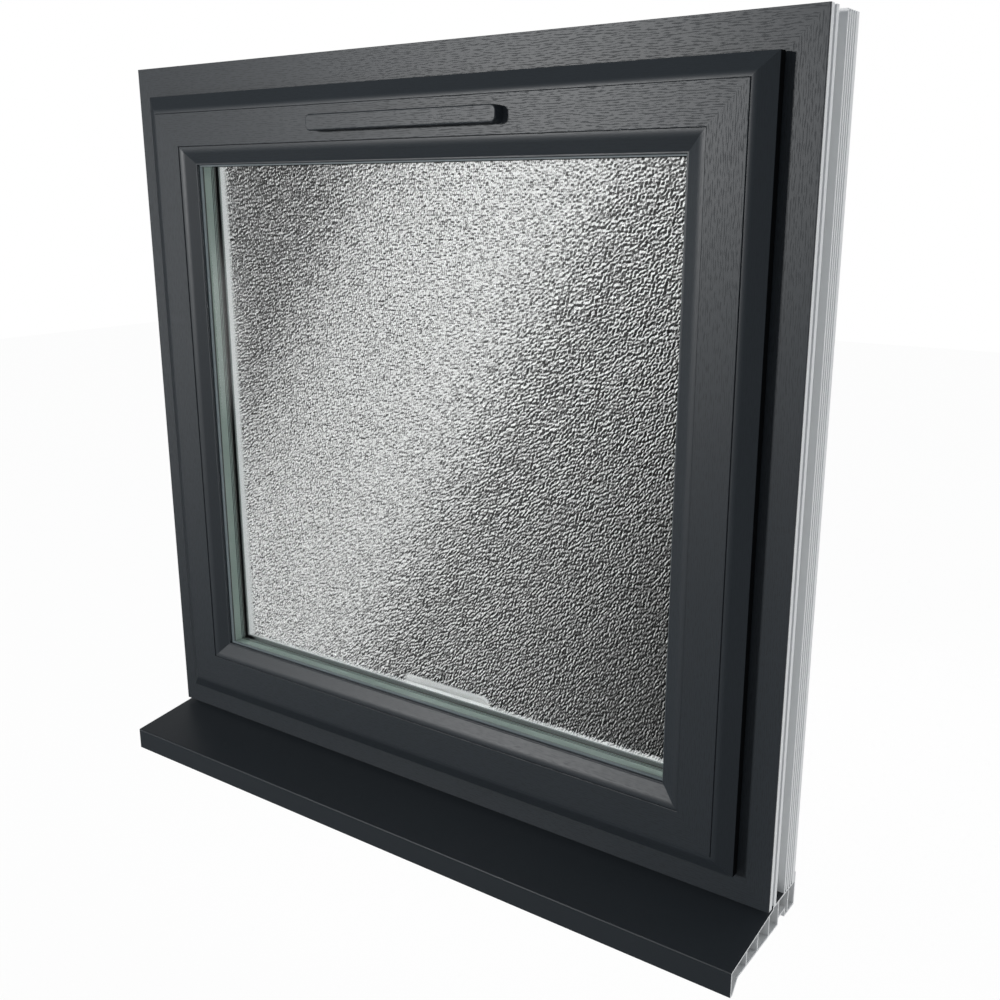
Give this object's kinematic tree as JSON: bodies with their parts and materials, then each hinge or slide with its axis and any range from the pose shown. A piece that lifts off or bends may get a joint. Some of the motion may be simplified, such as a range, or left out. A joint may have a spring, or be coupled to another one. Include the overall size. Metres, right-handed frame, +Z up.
{
  "type": "top-hung window",
  "caption": "Top-hung casement window with grey woodgrain frame, one outward-opening sash, obscure double glazing, trickle vent hood and projecting cill.",
  "frame": {"origin": "on the cill's flat bedding face, half way along the width and straight under the front face of the outer frame", "axes": "+X along the width, to the right as seen from outside; +Y into the room; +Z up"},
  "size_m": [0.883, 0.178, 0.893],
  "materials": {
    "anthracite_foil": "woodgrain foil",
    "white_upvc": "smooth",
    "clear_glass": "clear",
    "obscure_glass": "stippled",
    "spacer": "matt",
    "black_rubber": "matt",
    "packer_plastic": "matt",
    "white_painted_metal": "satin",
    "stainless_steel": "satin"
  },
  "bodies": {
    "root": {"bottom_bead": "white_upvc", "cill": "anthracite_foil", "edge_seal": "black_rubber", "frame_bottom_rail": "anthracite_foil", "frame_head": "anthracite_foil", "frame_left_jamb": "anthracite_foil", "frame_right_jamb": "anthracite_foil", "handle_base": "white_painted_metal", "handle_lever": "white_painted_metal", "inner_glazing_gasket": "black_rubber", "inner_pane": "obscure_glass", "inner_weather_seal": "black_rubber", "left_bead": "white_upvc", "left_friction_stay": "stainless_steel", "left_keep": "stainless_steel", "left_setting_block": "packer_plastic", "lock_rail": "stainless_steel", "outer_glazing_gasket": "black_rubber", "outer_pane": "clear_glass", "outer_weather_seal": "black_rubber", "right_bead": "white_upvc", "right_friction_stay": "stainless_steel", "right_keep": "stainless_steel", "right_setting_block": "packer_plastic", "sash_bottom_rail": "anthracite_foil", "sash_left_stile": "anthracite_foil", "sash_right_stile": "anthracite_foil", "sash_top_rail": "anthracite_foil", "spacer_frame": "spacer", "top_bead": "white_upvc", "vent_canopy": "anthracite_foil", "vent_closer": "white_upvc", "vent_flap": "white_upvc"}
  },
  "joints": []
}
